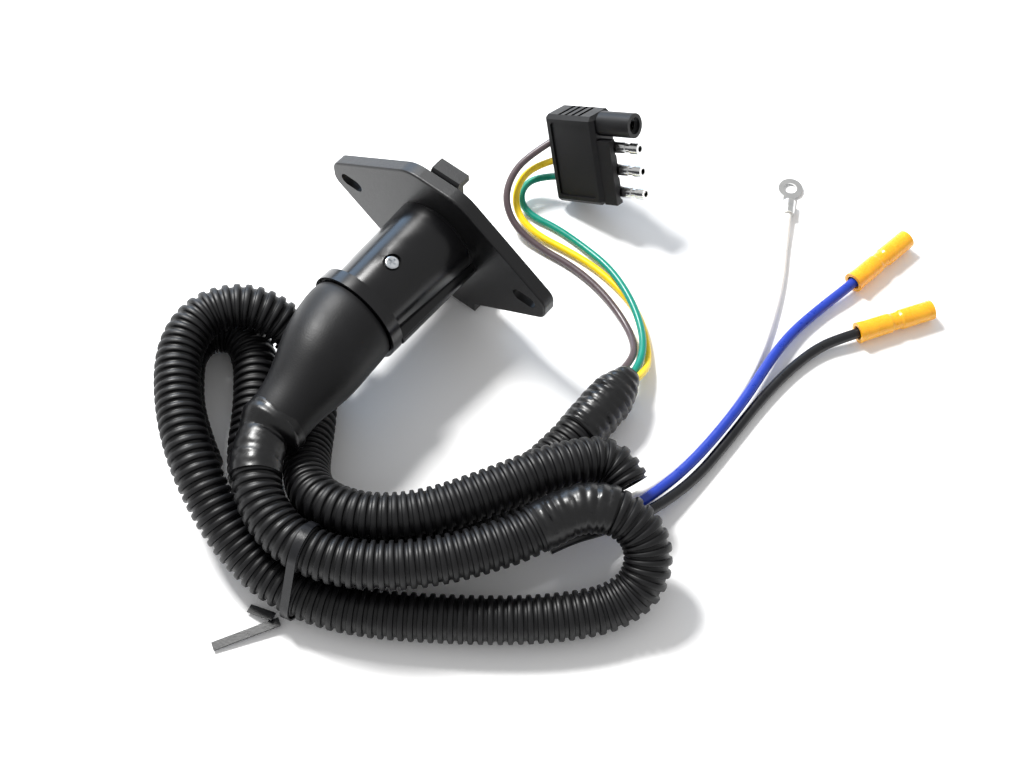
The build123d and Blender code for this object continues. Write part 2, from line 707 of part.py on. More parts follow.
# flat tie round the coil's two outer strands, with its two tails on the surface
tie_low = Vector(47.2, -91.7, 9.7)
tie_high = Vector(48.6, -81.6, 27.9)
tie_normal = Vector(0.97, 0.24, 0)
tie_span = tie_high - tie_low
tie_inner = loom_radius + tie_clearance
tie_plane = Plane((tie_low + tie_high) * 0.5, x_dir=tie_span, z_dir=tie_normal)
tie_tails = [((46.5, -101.6, 4.0), (36.5, -104.0, 1.2)), ((48.8, -101.2, 2.6), (36.5, -122.5, 1.0))]
with BuildPart() as twist_tie:
    with BuildSketch(tie_plane.offset(-tie_width / 2)):
        SlotCenterToCenter(tie_span.length, 2 * (tie_inner + tie_thickness))
        SlotCenterToCenter(tie_span.length, 2 * tie_inner, mode=Mode.SUBTRACT)
    extrude(amount=tie_width)
    for start, end in tie_tails:
        tail = Vector(end) - Vector(start)
        with BuildSketch(Plane(start, x_dir=tail.cross(Vector(0, 0, 1)), z_dir=tail)):
            Rectangle(tie_width, tie_thickness)
        extrude(amount=tail.length)
finish(twist_tie, "twist_tie")

# ---------------------------------------------------------------- flat four-way connector
# its own plane: X along the pins, Y along the row towards the low end, Z through the thickness
plug_plane = Plane(origin=(10.3, 103.9, 4.8), x_dir=(0.900, 0.150, 0.440), z_dir=(0.026, 0.942, -0.334))
row_margin = (plug_row - 3 * plug_pitch) / 2
row_places = [row_margin + plug_pitch * i - plug_row for i in range(4)]
plug_middle = plug_thickness / 2
plug_face = Plane(plug_plane.from_local_coords(Vector(plug_depth, 0, plug_middle)),
                  x_dir=plug_plane.y_dir, z_dir=plug_plane.x_dir)
with BuildPart() as flat_plug_body:
    with BuildSketch(plug_plane):
        with Locations((plug_depth / 2, -plug_row / 2)):
            Rectangle(plug_depth, plug_row)
    extrude(amount=plug_thickness)
    chamfer(flat_plug_body.edges(), plug_edge)
    # panels sunk in both wide faces, and grip grooves across the high end
    for level, cut in ((plug_thickness, -panel_recess), (0, panel_recess)):
        with BuildSketch(plug_plane.offset(level)):
            with Locations((plug_depth / 2, -plug_row / 2)):
                RectangleRounded(plug_depth - 2 * panel_margin, plug_row - 2 * panel_margin, plug_edge)
        extrude(amount=cut, mode=Mode.SUBTRACT)
    high_end = Plane(plug_plane.from_local_coords(Vector(plug_depth / 2, -plug_row, plug_middle)),
                     x_dir=plug_plane.x_dir, z_dir=-plug_plane.y_dir)
    with BuildSketch(high_end):
        with GridLocations(grip_pitch, 1, grip_count, 1):
            Rectangle(grip_width, plug_thickness - 2 * plug_edge)
    extrude(amount=-panel_recess, mode=Mode.SUBTRACT)
    # tongue behind the three pins
    with BuildSketch(plug_face):
        with Locations(((row_places[1] + row_places[3]) / 2, -plug_middle / 2 - 0.2)):
            Rectangle(2 * plug_pitch + 2 * bullet_radius + 3.0, plug_middle - 2 * plug_edge)
    extrude(amount=tongue_length)
    with BuildSketch(plug_face):
        with Locations((row_places[0], 0)):
            Circle(boss_radius)
    extrude(amount=boss_length)
    # bores: the empty boss, and the seats of the three pins
    with BuildSketch(plug_face.offset(-bullet_seat)):
        with Locations((row_places[0], 0)):
            Circle(boss_bore_radius)
    extrude(amount=bullet_seat + boss_length, mode=Mode.SUBTRACT)
    with BuildSketch(plug_face):
        with Locations(*[(place, 0) for place in row_places[1:]]):
            Circle(bullet_radius + 0.8)
    extrude(amount=tongue_length, mode=Mode.SUBTRACT)
    with BuildSketch(plug_face.offset(-bullet_seat)):
        with Locations(*[(place, 0) for place in row_places[1:]]):
            Circle(bullet_radius + fit_clearance / 2)
    extrude(amount=bullet_seat, mode=Mode.SUBTRACT)
finish(flat_plug_body, "flat_plug_body")

with BuildPart() as flat_plug_pins:
    for place in row_places[1:]:
        with BuildSketch(plug_face.offset(-bullet_seat)):
            with Locations((place, 0)):
                Circle(bullet_radius)
        extrude(amount=bullet_seat + bullet_length)
        # waist near the tip, and the hollow of the rolled sheet
        with BuildSketch(plug_face.offset(bullet_length - waist_from_tip)):
            with Locations((place, 0)):
                Circle(bullet_radius + 1)
                Circle(bullet_radius - waist_depth, mode=Mode.SUBTRACT)
        extrude(amount=waist_length, mode=Mode.SUBTRACT)
        with BuildSketch(plug_face.offset(bullet_length)):
            with Locations((place, 0)):
                Circle(bullet_bore_radius)
        extrude(amount=-bullet_length / 2, mode=Mode.SUBTRACT)
finish(flat_plug_pins, "flat_plug_pins")

with BuildPart() as flat_plug_socket:
    with BuildSketch(plug_face.offset(-bullet_seat)):
        with Locations((row_places[0], 0)):
            Circle(boss_bore_radius - fit_clearance / 2)
            Circle(bullet_radius, mode=Mode.SUBTRACT)
    extrude(amount=bullet_seat + boss_length - 2.0)
finish(flat_plug_socket, "flat_plug_socket")

# ---------------------------------------------------------------- ring terminal
white_end = Vector(lead_routes["lead_white"][1][-1])
white_before = Vector(lead_routes["lead_white"][1][-2])
crimp_heading = (white_end - white_before).normalized()
crimp_start = white_end - crimp_heading * (ring_barrel_length - 1.5)
ring_centre = white_end + crimp_heading * (1.5 + ring_neck_length + ring_outer_radius)
with BuildPart() as ring_terminal:
    with BuildSketch(Plane(crimp_start, z_dir=crimp_heading)):
        Circle(ring_barrel_radius)
        Circle(thin_lead_radius + fit_clearance, mode=Mode.SUBTRACT)
    extrude(amount=ring_barrel_length)
    tongue_plane = Plane(
        (ring_centre.X, ring_centre.Y, white_end.Z - ring_barrel_radius),
        x_dir=crimp_heading, z_dir=(0, 0, 1))
    with BuildSketch(tongue_plane):
        Circle(ring_outer_radius)
        with Locations((-(ring_outer_radius + ring_neck_length + 1) / 2, 0)):
            Rectangle(ring_outer_radius + ring_neck_length + 1, 2 * ring_barrel_radius)
        Circle(ring_hole_radius, mode=Mode.SUBTRACT)
    extrude(amount=ring_thickness)
finish(ring_terminal, "ring_terminal")

# ---------------------------------------------------------------- butt connectors
with BuildPart() as butt_barrels:
    for colour in ("blue", "black"):
        lead_end = Vector(lead_routes[f"lead_{colour}"][1][-1])
        lead_before = Vector(lead_routes[f"lead_{colour}"][1][-2])
        heading = (lead_end - lead_before).normalized()
        sleeve_start = lead_end - heading * lead_insertion
        barrel_start = sleeve_start + heading * (butt_length - butt_barrel_length) / 2
        with BuildSketch(Plane(barrel_start, z_dir=heading)):
            Circle(butt_barrel_radius)
            Circle(butt_barrel_bore, mode=Mode.SUBTRACT)
        extrude(amount=butt_barrel_length)
finish(butt_barrels, "butt_barrels")

for colour in ("blue", "black"):
    lead_end = Vector(lead_routes[f"lead_{colour}"][1][-1])
    lead_before = Vector(lead_routes[f"lead_{colour}"][1][-2])
    heading = (lead_end - lead_before).normalized()
    sleeve_start = lead_end - heading * lead_insertion
    half_waist = butt_waist_length / 2
    with BuildPart() as sleeve:
        with BuildSketch(Plane(sleeve_start, x_dir=(0, 0, 1), z_dir=Vector(0, 0, 1).cross(heading))):
            with BuildLine():
                Polyline(
                    (butt_bore, 0), (butt_flare_radius, 0), (butt_radius, butt_flare_length),
                    (butt_radius, butt_length / 2 - half_waist),
                    (butt_waist_radius, butt_length / 2 - half_waist + 1),
                    (butt_waist_radius, butt_length / 2 + half_waist - 1),
                    (butt_radius, butt_length / 2 + half_waist),
                    (butt_radius, butt_length), (butt_bore, butt_length), close=True,
                )
            make_face()
        revolve(axis=Axis(sleeve_start, heading))
    finish(sleeve, f"butt_sleeve_{colour}")
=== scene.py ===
from math import cos, pi, radians, sin

import bmesh
import bpy
from bpy.props import FloatProperty, FloatVectorProperty, IntProperty, PointerProperty
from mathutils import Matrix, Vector, noise


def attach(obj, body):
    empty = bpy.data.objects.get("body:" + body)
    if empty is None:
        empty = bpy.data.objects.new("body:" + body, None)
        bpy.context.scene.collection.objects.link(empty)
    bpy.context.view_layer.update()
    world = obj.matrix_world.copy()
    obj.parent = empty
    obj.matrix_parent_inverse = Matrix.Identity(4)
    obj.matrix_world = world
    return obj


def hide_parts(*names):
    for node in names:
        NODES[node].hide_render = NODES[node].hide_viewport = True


bl_info = {
    "name": "Trailer wiring connector",
    "version": (1, 0, 0),
    "blender": (4, 5, 0),
    "location": "3D View > Sidebar > Connector",
    "description": "Dresses the socket, looms, tapes, leads and terminals of a trailer wiring connector",
    "category": "Object",
}

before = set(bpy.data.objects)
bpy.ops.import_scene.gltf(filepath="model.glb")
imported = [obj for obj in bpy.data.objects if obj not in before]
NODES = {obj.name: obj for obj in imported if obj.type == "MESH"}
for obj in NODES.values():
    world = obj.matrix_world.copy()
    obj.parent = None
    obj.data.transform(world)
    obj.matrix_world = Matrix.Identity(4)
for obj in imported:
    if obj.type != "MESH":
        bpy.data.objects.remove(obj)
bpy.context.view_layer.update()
MM = 0.001

# Routes in millimetres, each from where the cord leaves to its far end.
MAIN_ROUTE = [
    (11, -67, 32), (17, -75, 31.5), (27, -81, 30), (40, -83.5, 28.5), (54, -80.5, 27.5),
    (67.5, -73, 27), (79, -62.8, 27), (87.8, -52.6, 27), (95, -42, 27), (101, -32, 27),
    (105.5, -21, 28), (111, -10, 29.5), (122, -2.8, 29), (135, -2.5, 23), (142, -12.5, 14),
    (138, -25, 8.8), (129, -36.5, 8.8), (118.5, -47, 8.8), (106.5, -57, 8.8), (92, -68, 8.8),
    (77, -78.5, 8.8), (62, -87, 9.0), (46.5, -92, 9.8), (30, -93.5, 12.4), (11, -90, 19.5),
    (-10, -81.3, 26.5), (-29, -68.5, 27), (-44.5, -53, 27), (-49.5, -37.5, 27), (-44, -25.5, 27),
    (-34.5, -18.5, 25), (-23, -15.5, 18), (-12, -18.5, 10.5), (-2, -27, 8.8), (6.5, -37.5, 8.8),
    (15, -49, 11.5), (24.5, -59, 18.5), (35.5, -64.8, 25), (50.5, -62, 27), (63, -53, 27),
    (72, -42, 27), (79.5, -29, 27), (86, -16.5, 27), (91, -6, 26.6), (96.4, 3.2, 25.1),
    (102.2, 11.7, 23), (109, 13.8, 20.8), (115.6, 11.1, 18.5),
]
BRANCH_ROUTE = [
    (-12, -77.5, 8.8), (-31, -68, 8.8), (-45.5, -55, 8.8), (-54, -44, 8.8), (-53.5, -32, 8.8),
    (-43.5, -25, 8.8), (-32.5, -28.5, 8.8), (-22, -38, 8.8), (-12, -49.5, 8.8), (-3.5, -61, 8.8),
    (7.5, -71, 8.8), (22, -76, 8.8), (37.5, -74.5, 8.8), (51, -68, 8.8), (63, -57.5, 8.8),
    (72, -45, 8.8), (78, -31, 8.8), (81.5, -16.5, 8.8), (84, -1.5, 8.8), (85.5, 13, 8.8),
    (86, 28, 9.3),
]
LEAD_ROUTES = {
    "brown": [
        (82.6, 51, 12.2), (81.6, 60.5, 8.2), (76.6, 69, 4.2), (66, 76.5, 1.7), (50, 82.3, 1.7),
        (34, 84.3, 1.7), (18, 82.8, 1.9), (5.5, 82.8, 5.6), (-3, 87, 11), (-6.8, 95, 15.5),
        (-6, 104.5, 20), (-1.1, 114.2, 24.2),
    ],
    "yellow": [
        (88.6, 51, 12), (88.3, 60, 6.5), (83.5, 69, 2.2), (75, 77.8, 1.7), (65, 84.3, 1.7),
        (53, 88, 1.7), (40, 89.6, 1.7), (27, 89, 1.7), (14, 87.2, 2), (3.5, 88.3, 4),
        (-3, 93.2, 7.6), (-5, 100.3, 11.8), (-2.3, 107, 15.2), (2.6, 111.8, 17.6),
    ],
    "green": [
        (85.8, 51, 9.2), (85.3, 59, 8), (81.2, 68.5, 6.6), (73, 77.4, 5.6), (61, 85.5, 5.4),
        (47, 91.6, 4.2), (32, 94.6, 1.8), (17, 95.2, 1.7), (6.5, 93.4, 1.8), (-1.2, 95, 3.2),
        (-4.6, 100.4, 5.8), (-1.6, 106.4, 8.8), (5.8, 109.7, 11.9),
    ],
    "white": [
        (100.9, -21.3, 17.6), (104.4, -13.7, 18.4), (108.6, -4.5, 14.5), (112.8, 6, 8),
        (117, 18.5, 3.2), (120.5, 34, 1.7), (122.1, 51, 1.7), (121.6, 71, 1.7), (118.6, 90, 1.7),
        (112.7, 109, 1.7), (104, 130, 1.7), (94, 147.3, 1.8), (88.4, 157.2, 2.8),
        (84.6, 164.1, 2.8),
    ],
    "blue": [
        (104.5, -23.1, 16.1), (108, -15.5, 17), (112.6, -5.5, 14), (118, 5.5, 8.8),
        (121.6, 21, 5.6), (124.4, 38, 5.3), (124.9, 58, 5.3), (124, 77, 5.3), (121.6, 95.5, 4.8),
        (120.6, 113, 2.9), (123.2, 130.5, 3), (125.9, 142, 4.5), (127.7, 153.5, 4.5),
    ],
    "black": [
        (108.9, -25.1, 17.1), (112.5, -17.5, 18), (117.6, -8, 15.3), (122.2, 3.5, 10.6),
        (126, 18, 6), (129, 37, 2.6), (128.9, 58, 2.3), (128.2, 80, 2.3), (129.3, 99, 2.3),
        (132.6, 114, 3), (138.6, 123.8, 4.5), (144.5, 133.6, 4.5),
    ],
}
HEAVY_LEADS = ("blue", "black")
NECK_ROUTE = [(6.5, -51, 31), (6.5, -58, 31.2), (8.6, -63.5, 31.8), (12.6, -69.5, 31.9), (16, -73.4, 31.6)]

# Sizes that the looms, tapes and leads share, in metres unless they are shares or angles.
RIB_PITCH = 3.4 * MM
LOOM_RADIUS = 8.6 * MM
SEAM_TURN = 2.2
SLIT_HALF_ANGLE = 0.11
TAPE_RING_SPACING = 0.55 * MM
TAPE_SIDES = 56
TAPE_EDGE_POWER = 0.6
NECK_TAPE_RADIUS = 8.95 * MM
BRANCH_TAPE_RADIUS = 8.5 * MM
JOINT_TAPE_RADIUS = 8.3 * MM
LIP_COVER = 0.34
LIP_END = 0.22
LIP_FALL = 0.2
CLOSING_FROM = 0.56
CLOSING_DROP = 0.60
CLOSING_POWER = 1.6
LEAD_RADIUS = 1.45 * MM
HEAVY_LEAD_RADIUS = 2.05 * MM


def linear(hex_colour):
    """An sRGB hex colour as linear red, green and blue."""
    parts = [int(hex_colour[i:i + 2], 16) / 255 for i in (1, 3, 5)]
    return tuple(c / 12.92 if c <= 0.04045 else ((c + 0.055) / 1.055) ** 2.4 for c in parts)


# ---------------------------------------------------------------- sizes and colours
class LoomSizes(bpy.types.PropertyGroup):
    pitch: FloatProperty(
        name="Rib pitch", description="From one rib of the loom to the next", default=RIB_PITCH,
        min=1.5 * MM, max=8 * MM, unit="LENGTH")
    depth: FloatProperty(
        name="Rib depth", description="From a rib's crest to the groove beside it",
        default=1.25 * MM, min=0.2 * MM, max=3 * MM, unit="LENGTH")
    wall: FloatProperty(
        name="Wall", description="Thickness of the loom's plastic", default=0.55 * MM,
        min=0.2 * MM, max=2 * MM, unit="LENGTH")
    slit: FloatProperty(
        name="Slit depth", description="How deep the lengthwise slit is drawn",
        default=0.9 * MM, min=0.0, max=2 * MM, unit="LENGTH")
    sides: IntProperty(
        name="Sides", description="Points round the loom", default=40, min=16, max=96)


class TapeSizes(bpy.types.PropertyGroup):
    lap: FloatProperty(
        name="Lap", description="Length of loom that each turn of tape advances",
        default=8.5 * MM, min=3 * MM, max=20 * MM, unit="LENGTH")
    step: FloatProperty(
        name="Lap edge", description="Height of the tape's edge where it laps itself",
        default=0.32 * MM, min=0.05 * MM, max=1 * MM, unit="LENGTH")
    wrinkle: FloatProperty(
        name="Wrinkle", description="Height of the tape's folds and puckers",
        default=0.22 * MM, min=0.0, max=1.5 * MM, unit="LENGTH")


class Colours(bpy.types.PropertyGroup):
    black: FloatVectorProperty(
        name="Mouldings", description="Black of the moulded parts", subtype="COLOR",
        default=linear("#0A0A0C"), min=0, max=1)
    loom: FloatVectorProperty(
        name="Loom", description="Black of the corrugated loom", subtype="COLOR",
        default=linear("#0C0C0E"), min=0, max=1)
    brown: FloatVectorProperty(
        name="Brown lead", description="Insulation of the brown lead", subtype="COLOR",
        default=linear("#54484B"), min=0, max=1)
    yellow: FloatVectorProperty(
        name="Yellow lead", description="Insulation of the yellow lead", subtype="COLOR",
        default=linear("#F4D21E"), min=0, max=1)
    green: FloatVectorProperty(
        name="Green lead", description="Insulation of the green lead", subtype="COLOR",
        default=linear("#048573"), min=0, max=1)
    white: FloatVectorProperty(
        name="White lead", description="Insulation of the white lead", subtype="COLOR",
        default=linear("#EDEBE6"), min=0, max=1)
    blue: FloatVectorProperty(
        name="Blue lead", description="Insulation of the blue lead", subtype="COLOR",
        default=linear("#1B39A6"), min=0, max=1)
    lead_black: FloatVectorProperty(
        name="Black lead", description="Insulation of the black lead", subtype="COLOR",
        default=linear("#0D0E12"), min=0, max=1)
    splice: FloatVectorProperty(
        name="Splices", description="Nylon of the crimped splices", subtype="COLOR",
        default=linear("#FFB21C"), min=0, max=1)


# ---------------------------------------------------------------- materials
def add(tree, kind, inputs=None, **settings):
    """Adds a node, sets its properties, and fills its inputs from numbers or other sockets."""
    node = tree.nodes.new(kind)
    for name, value in settings.items():
        setattr(node, name, value)
    for name, value in (inputs or {}).items():
        if isinstance(value, bpy.types.NodeSocket):
            tree.links.new(value, node.inputs[name])
        else:
            node.inputs[name].default_value = value
    return node


def surface(name, **numbers):
    """A new material with a Principled shader holding these uniform numbers."""
    material = bpy.data.materials.new(name)
    material.use_nodes = True
    tree = material.node_tree
    shader = tree.nodes["Principled BSDF"]
    for key, value in numbers.items():
        shader.inputs[key.replace("_", " ").title().replace("Ior", "IOR")].default_value = value
    place = add(tree, "ShaderNodeTexCoord").outputs["Object"]
    return material, tree, shader, place


def grain(tree, place, size, detail=3.0, stretch=(1, 1, 1)):
    """Noise whose blotches are about this size in metres."""
    scaled = add(tree, "ShaderNodeVectorMath", {0: place, 1: stretch}, operation="MULTIPLY")
    return add(tree, "ShaderNodeTexNoise", {
        "Vector": scaled.outputs[0], "Scale": 1 / size, "Detail": detail}).outputs["Fac"]


def spread(tree, value, low, high, start=0.3, end=0.7):
    """A texture's value turned to a range of roughness or height."""
    return add(tree, "ShaderNodeMapRange", {
        "Value": value, "From Min": start, "From Max": end, "To Min": low, "To Max": high,
    }).outputs["Result"]


def tones(tree, value, dark, light):
    """A colour between two, by a texture's value."""
    mix = add(tree, "ShaderNodeMix", {0: value, 6: (*dark, 1), 7: (*light, 1)}, data_type="RGBA")
    return mix.outputs[2]


def shade(colour, factor):
    """A colour lightened or darkened by a factor."""
    return tuple(min(1.0, c * factor) for c in colour)


def raise_bump(tree, shader, height, distance):
    """Lets a texture's value raise the surface by up to this distance."""
    bump = add(tree, "ShaderNodeBump", {"Height": height, "Distance": distance})
    tree.links.new(bump.outputs["Normal"], shader.inputs["Normal"])


def glass_filled_nylon(colours):
    # Injection-moulded nylon with short glass fibre: near black, the barrel polished by its mould
    # into one long sharp streak, the flange and lid spark-eroded to a fine satin.
    material, tree, shader, place = surface("glass_filled_nylon", IOR=1.53, specular_ior_level=0.38)
    fine = grain(tree, place, 0.45 * MM, 2.0)
    cloud = grain(tree, place, 9 * MM, 3.0)
    tree.links.new(
        tones(tree, cloud, shade(colours.black, 0.8), shade(colours.black, 1.25)),
        shader.inputs["Base Color"])
    along = add(tree, "ShaderNodeSeparateXYZ", {0: place}).outputs["Y"]
    on_flange = spread(tree, along, 0.0, 1.0, 41.2 * MM, 42.2 * MM)
    gloss = spread(tree, cloud, 0.16, 0.26)
    satin = spread(tree, fine, 0.34, 0.46)
    rough = add(tree, "ShaderNodeMix", {0: on_flange, 2: gloss, 3: satin})
    tree.links.new(rough.outputs[0], shader.inputs["Roughness"])
    texture = add(tree, "ShaderNodeMath", {0: fine, 1: on_flange}, operation="MULTIPLY")
    raise_bump(tree, shader, texture.outputs[0], 0.06 * MM)
    return material


def phenolic(colours):
    # Compression-moulded phenolic: dull, faintly mottled by its filler.
    material, tree, shader, place = surface("phenolic", IOR=1.6)
    fine = grain(tree, place, 0.8 * MM, 4.0)
    tree.links.new(
        tones(tree, fine, shade(colours.black, 0.8), shade(colours.black, 1.6)),
        shader.inputs["Base Color"])
    tree.links.new(spread(tree, fine, 0.5, 0.65), shader.inputs["Roughness"])
    raise_bump(tree, shader, fine, 0.05 * MM)
    return material


def moulded_rubber(name, colours, low, high):
    # Moulded EPDM: matte with a soft broad highlight, slightly greyer where it has bloomed.
    material, tree, shader, place = surface(name, IOR=1.5, specular_ior_level=0.3)
    fine = grain(tree, place, 0.5 * MM, 3.0)
    bloom = grain(tree, place, 14 * MM, 4.0)
    tree.links.new(
        tones(tree, bloom, shade(colours.black, 0.85), shade(colours.black, 1.5)),
        shader.inputs["Base Color"])
    tree.links.new(spread(tree, bloom, low, high), shader.inputs["Roughness"])
    raise_bump(tree, shader, fine, 0.05 * MM)
    return material


def polyethylene(colours):
    # Blow-moulded polyethylene loom: waxy black, semi-matte crests and duller, dusty grooves.
    material, tree, shader, place = surface("corrugated_polyethylene", IOR=1.51, specular_ior_level=0.34)
    dust = grain(tree, place, 6 * MM, 5.0)
    fine = grain(tree, place, 0.6 * MM, 2.0)
    tree.links.new(
        tones(tree, dust, shade(colours.loom, 0.75), shade(colours.loom, 1.35)),
        shader.inputs["Base Color"])
    tree.links.new(spread(tree, dust, 0.40, 0.56), shader.inputs["Roughness"])
    raise_bump(tree, shader, fine, 0.03 * MM)
    return material


def vinyl_tape(colours):
    # Calendered vinyl tape pulled tight: shiny, with fine stretch lines along each turn.
    material, tree, shader, place = surface("vinyl_tape", IOR=1.54, specular_ior_level=0.4)
    pucker = grain(tree, place, 2.6 * MM, 4.0)
    stretch = grain(tree, place, 1.2 * MM, 3.0, (1.0, 0.35, 1.0))
    tree.links.new(
        tones(tree, pucker, shade(colours.black, 0.7), shade(colours.black, 1.1)),
        shader.inputs["Base Color"])
    tree.links.new(spread(tree, pucker, 0.26, 0.42), shader.inputs["Roughness"])
    both = add(tree, "ShaderNodeMath", {0: pucker, 1: stretch}, operation="ADD")
    raise_bump(tree, shader, both.outputs[0], 0.05 * MM)
    return material


def vinyl_insulation(name, colour):
    # Extruded vinyl insulation: even colour, a satin gloss and faint drag lines from the die.
    material, tree, shader, place = surface(
        "vinyl_insulation_" + name, IOR=1.53, specular_ior_level=0.42, subsurface_weight=0.05)
    shader.inputs["Subsurface Radius"].default_value = (0.6 * MM, 0.5 * MM, 0.4 * MM)
    drag = grain(tree, place, 3 * MM, 3.0)
    tree.links.new(
        tones(tree, drag, shade(colour, 0.86), shade(colour, 1.08)), shader.inputs["Base Color"])
    tree.links.new(spread(tree, drag, 0.26, 0.38), shader.inputs["Roughness"])
    raise_bump(tree, shader, grain(tree, place, 0.7 * MM), 0.03 * MM)
    return material


def moulded_nylon(colours):
    # Clear-tinted nylon sleeves: light gets into the wall, so thin rims glow and the middle is deeper.
    material, tree, shader, place = surface(
        "tinted_nylon", IOR=1.53, subsurface_weight=0.35, coat_weight=0.15)
    shader.inputs["Subsurface Radius"].default_value = (2.2 * MM, 1.2 * MM, 0.4 * MM)
    dent = grain(tree, place, 5 * MM, 2.0)
    tree.links.new(
        tones(tree, dent, shade(colours.splice, 0.8), shade(colours.splice, 1.1)),
        shader.inputs["Base Color"])
    tree.links.new(spread(tree, dent, 0.22, 0.36), shader.inputs["Roughness"])
    raise_bump(tree, shader, dent, 0.15 * MM)
    return material


def plated_metal(name, light, dark, low, high, size):
    # Plated or turned metal: bright, clouded by handling, with fine tool lines.
    material, tree, shader, place = surface(name, metallic=1.0)
    cloud = grain(tree, place, size, 4.0)
    lines = grain(tree, place, 0.5 * MM, 2.0, (1.0, 4.0, 1.0))
    tree.links.new(tones(tree, cloud, linear(dark), linear(light)), shader.inputs["Base Color"])
    tree.links.new(spread(tree, lines, low, high), shader.inputs["Roughness"])
    raise_bump(tree, shader, lines, 0.03 * MM)
    return material


def painted_table():
    # Sprayed white laminate: flat and almost without texture.
    material, tree, shader, place = surface("white_laminate", roughness=0.7, IOR=1.45)
    tree.links.new(
        tones(tree, grain(tree, place, 60 * MM), linear("#FBFBFC"), linear("#FFFFFF")),
        shader.inputs["Base Color"])
    return material


def made(name, build, *values):
    """The material of this name, built the first time it is asked for."""
    return bpy.data.materials.get(name) or build(*values)


def paint(node, material):
    """Gives a carried-over node its material, on its object's slots."""
    piece = NODES[node]
    if not piece.material_slots:
        piece.data.materials.append(material)
    for slot in piece.material_slots:
        slot.link = "OBJECT"
        slot.material = material


# ---------------------------------------------------------------- lines and tubes
def in_metres(route):
    """A route's points from millimetres to metres."""
    return [tuple(value * MM for value in point) for point in route]


def route_curve(name, route):
    """A curve holding the route as one open spline, its points the spline's control points."""
    curve = bpy.data.curves.new(name, "CURVE")
    curve.dimensions = "3D"
    curve.resolution_u = 16
    spline = curve.splines.new("NURBS")
    spline.points.add(len(route) - 1)
    for point, place in zip(spline.points, in_metres(route)):
        point.co = (*place, 1)
    spline.order_u = 3
    spline.use_endpoint_u = True
    piece = bpy.data.objects.new(name, curve)
    bpy.context.scene.collection.objects.link(piece)
    return piece


class Line:
    """A route's smooth centreline, with a frame that doesn't twist, read by distance along it."""

    def __init__(self, route):
        holder = route_curve("route", route)
        mesh = bpy.data.meshes.new_from_object(holder)
        self.points = []
        for vertex in mesh.vertices:
            if not self.points or (vertex.co - self.points[-1]).length > 0.05 * MM:
                self.points.append(vertex.co.copy())
        bpy.data.objects.remove(holder)
        bpy.data.meshes.remove(mesh)
        self.at = [0.0]
        for a, b in zip(self.points, self.points[1:]):
            self.at.append(self.at[-1] + (b - a).length)
        self.length = self.at[-1]
        ahead = [(b - a).normalized() for a, b in zip(self.points, self.points[1:])]
        ahead.append(ahead[-1])
        self.ahead = [ahead[0]] + [(a + b).normalized() for a, b in zip(ahead, ahead[1:])]
        side = self.ahead[0].cross(Vector((0, 0, 1))).normalized()
        self.side = [side]
        for before, after in zip(self.ahead, self.ahead[1:]):
            side = before.rotation_difference(after) @ side
            side = (side - after * side.dot(after)).normalized()
            self.side.append(side)
        self.step = 0

    def frame(self, distance):
        """Centre, heading, side and up at a distance along the line."""
        i = self.step
        if self.at[i] > distance:
            i = 0
        while i < len(self.at) - 2 and self.at[i + 1] < distance:
            i += 1
        self.step = i
        span = max(self.at[i + 1] - self.at[i], 1e-9)
        t = (distance - self.at[i]) / span
        centre = self.points[i].lerp(self.points[i + 1], t)
        heading = self.ahead[i].lerp(self.ahead[i + 1], min(max(t, 0), 1)).normalized()
        side = self.side[i].lerp(self.side[i + 1], min(max(t, 0), 1))
        side = (side - heading * side.dot(heading)).normalized()
        return centre, heading, side, heading.cross(side)

    def nearest(self, place):
        """Distance along the line of its point nearest a place given in millimetres."""
        target = Vector(place) * MM
        gaps = [(point - target).length for point in self.points]
        return self.at[gaps.index(min(gaps))]


def swept(name, line, sides, stations, close=True):
    """A tube mesh: at each (distance, radius of an angle) station, one ring round the line."""
    shape = bmesh.new()
    rings = []
    for distance, radius in stations:
        centre, heading, side, up = line.frame(distance)
        ring = []
        for k in range(sides):
            angle = 2 * pi * k / sides
            r = radius(angle) if callable(radius) else radius
            ring.append(shape.verts.new(centre + (side * cos(angle) + up * sin(angle)) * r))
        rings.append(ring)
    for before, after in zip(rings, rings[1:]):
        for k in range(sides):
            n = (k + 1) % sides
            shape.faces.new((before[k], before[n], after[n], after[k]))
    if close:
        shape.faces.new(rings[0][::-1])
        shape.faces.new(rings[-1])
    return finished(name, shape)


def finished(name, shape, sharp=35):
    """Turns worked geometry into a smooth-shaded piece with crisp edges above an angle."""
    bmesh.ops.recalc_face_normals(shape, faces=shape.faces)
    mesh = bpy.data.meshes.new(name)
    shape.to_mesh(mesh)
    shape.free()
    mesh.shade_smooth()
    mesh.set_sharp_from_angle(angle=radians(sharp))
    piece = bpy.data.objects.new(name, mesh)
    bpy.context.scene.collection.objects.link(piece)
    return piece


def placed(piece, body, slot, material, *nodes):
    """Rides the piece on its body, gives it its finish, and hides what it stands for; the slot is not
    used.
    """
    piece.data.materials.append(material)
    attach(piece, body)
    if nodes:
        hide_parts(*nodes)
    return piece


def rib_profile(sizes, crest):
    """One rib of the loom as (fraction of the pitch, radius)."""
    root = crest - sizes.depth
    return [
        (0.04, root + 0.12 * sizes.depth), (0.12, crest - 0.16 * sizes.depth),
        (0.20, crest - 0.03 * sizes.depth), (0.36, crest), (0.52, crest - 0.03 * sizes.depth),
        (0.60, crest - 0.18 * sizes.depth), (0.68, root + 0.12 * sizes.depth), (0.76, root),
        (0.96, root),
    ]


